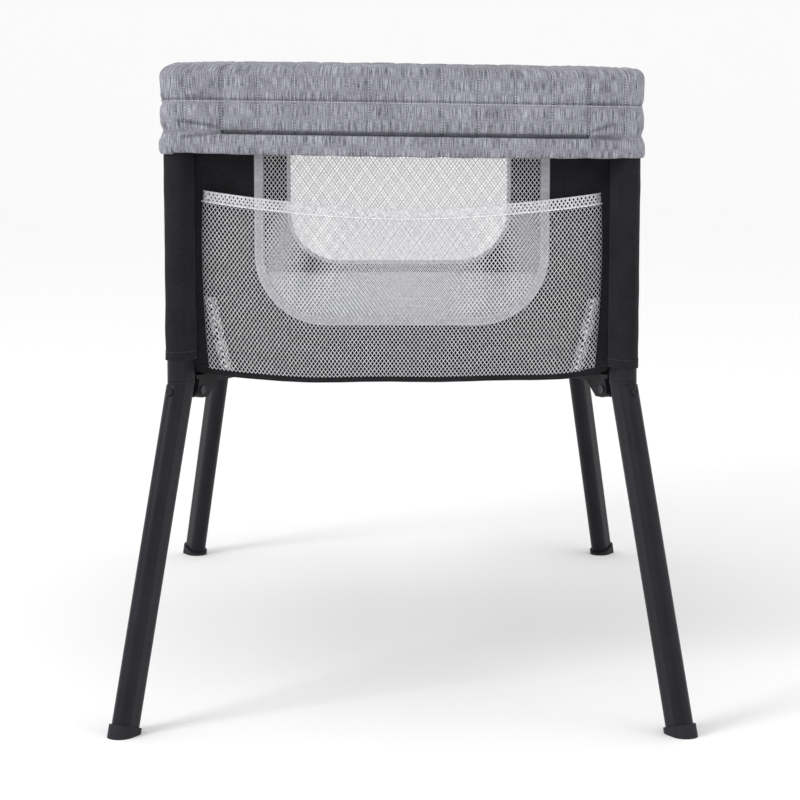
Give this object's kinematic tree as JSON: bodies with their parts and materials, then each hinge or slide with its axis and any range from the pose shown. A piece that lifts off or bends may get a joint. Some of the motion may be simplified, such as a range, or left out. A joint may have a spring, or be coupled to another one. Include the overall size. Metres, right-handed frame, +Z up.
{
  "type": "bassinet on stand",
  "caption": "Bassinet with a quilted rail cover, mesh-windowed fabric tub, end storage pocket and splayed legs that fold in under the tub.",
  "frame": {"origin": "on the floor, under the middle of the tub", "axes": "+Z up; Y along the tub, the end with the storage pocket facing -Y; X across the tub"},
  "size_m": [0.6332, 1.035, 0.716],
  "materials": {
    "powder_black": "satin",
    "black_plastic": "matte",
    "foot_plastic": "matte",
    "steel": "satin",
    "black_fabric": "matte",
    "white_mesh": "matte",
    "binding_tape": "matte",
    "grey_quilt": "matte",
    "mattress_cloth": "matte",
    "board": "matte"
  },
  "bodies": {
    "frame": {"post_tube_front_left": "powder_black", "corner_sleeve_front_left": "black_fabric", "knuckle_front_left": "black_plastic", "corner_moulding_front_left": "black_plastic", "base_arm_front_left": "powder_black", "post_tube_front_right": "powder_black", "corner_sleeve_front_right": "black_fabric", "knuckle_front_right": "black_plastic", "corner_moulding_front_right": "black_plastic", "base_arm_front_right": "powder_black", "post_tube_back_left": "powder_black", "corner_sleeve_back_left": "black_fabric", "knuckle_back_left": "black_plastic", "corner_moulding_back_left": "black_plastic", "base_arm_back_left": "powder_black", "post_tube_back_right": "powder_black", "corner_sleeve_back_right": "black_fabric", "knuckle_back_right": "black_plastic", "corner_moulding_back_right": "black_plastic", "base_arm_back_right": "powder_black", "side_rail_left": "powder_black", "side_rail_right": "powder_black", "end_rail_front": "powder_black", "end_rail_back": "powder_black", "hub": "black_plastic", "hinge_pins": "steel", "base_rivets": "steel", "front_panel": "black_fabric", "front_window_mesh": "white_mesh", "front_window_binding": "binding_tape", "back_panel": "black_fabric", "back_window_mesh": "white_mesh", "back_window_binding": "binding_tape", "right_panel": "black_fabric", "right_window_mesh": "white_mesh", "right_window_binding": "binding_tape", "left_panel": "black_fabric", "left_window_mesh": "white_mesh", "left_window_binding": "binding_tape", "floor_panel": "black_fabric", "storage_pocket": "white_mesh", "rail_cover": "grey_quilt"},
    "leg_front_left": {"leg_head_front_left": "black_plastic", "leg_tube_front_left": "powder_black", "foot_cap_front_left": "foot_plastic"},
    "button_front_left": {"release_button_front_left": "black_plastic"},
    "leg_front_right": {"leg_head_front_right": "black_plastic", "leg_tube_front_right": "powder_black", "foot_cap_front_right": "foot_plastic"},
    "button_front_right": {"release_button_front_right": "black_plastic"},
    "leg_back_left": {"leg_head_back_left": "black_plastic", "leg_tube_back_left": "powder_black", "foot_cap_back_left": "foot_plastic"},
    "button_back_left": {"release_button_back_left": "black_plastic"},
    "leg_back_right": {"leg_head_back_right": "black_plastic", "leg_tube_back_right": "powder_black", "foot_cap_back_right": "foot_plastic"},
    "button_back_right": {"release_button_back_right": "black_plastic"},
    "mattress": {"mattress_board": "board", "mattress_pad": "mattress_cloth"}
  },
  "joints": [
    {"name": "leg_fold_front_left", "type": "hinge", "parent": "frame", "child": "leg_front_left", "pos_m": [-0.22874, -0.3806, 0.359], "axis": [0.8571, -0.5151, 0], "range_deg": [0, 105]},
    {"name": "button_press_front_left", "type": "slide", "parent": "leg_front_left", "child": "button_front_left", "axis": [0.4931, 0.8204, -0.2895], "range_m": [0, 0.004], "stiffness_N_per_m": 500, "springref_m": -0.004},
    {"name": "leg_fold_front_right", "type": "hinge", "parent": "frame", "child": "leg_front_right", "pos_m": [0.22874, -0.3806, 0.359], "axis": [0.8571, 0.5151, 0], "range_deg": [0, 105]},
    {"name": "button_press_front_right", "type": "slide", "parent": "leg_front_right", "child": "button_front_right", "axis": [-0.4931, 0.8204, -0.2895], "range_m": [0, 0.004], "stiffness_N_per_m": 500, "springref_m": -0.004},
    {"name": "leg_fold_back_left", "type": "hinge", "parent": "frame", "child": "leg_back_left", "pos_m": [-0.22874, 0.3806, 0.359], "axis": [-0.8571, -0.5151, 0], "range_deg": [0, 105]},
    {"name": "button_press_back_left", "type": "slide", "parent": "leg_back_left", "child": "button_back_left", "axis": [0.4931, -0.8204, -0.2895], "range_m": [0, 0.004], "stiffness_N_per_m": 500, "springref_m": -0.004},
    {"name": "leg_fold_back_right", "type": "hinge", "parent": "frame", "child": "leg_back_right", "pos_m": [0.22874, 0.3806, 0.359], "axis": [-0.8571, 0.5151, 0], "range_deg": [0, 105]},
    {"name": "button_press_back_right", "type": "slide", "parent": "leg_back_right", "child": "button_back_right", "axis": [-0.4931, -0.8204, -0.2895], "range_m": [0, 0.004], "stiffness_N_per_m": 500, "springref_m": -0.004},
    {"name": "mattress_lift", "type": "slide", "parent": "frame", "child": "mattress", "axis": [0, 0, 1], "range_m": [0, 0.4]}
  ]
}
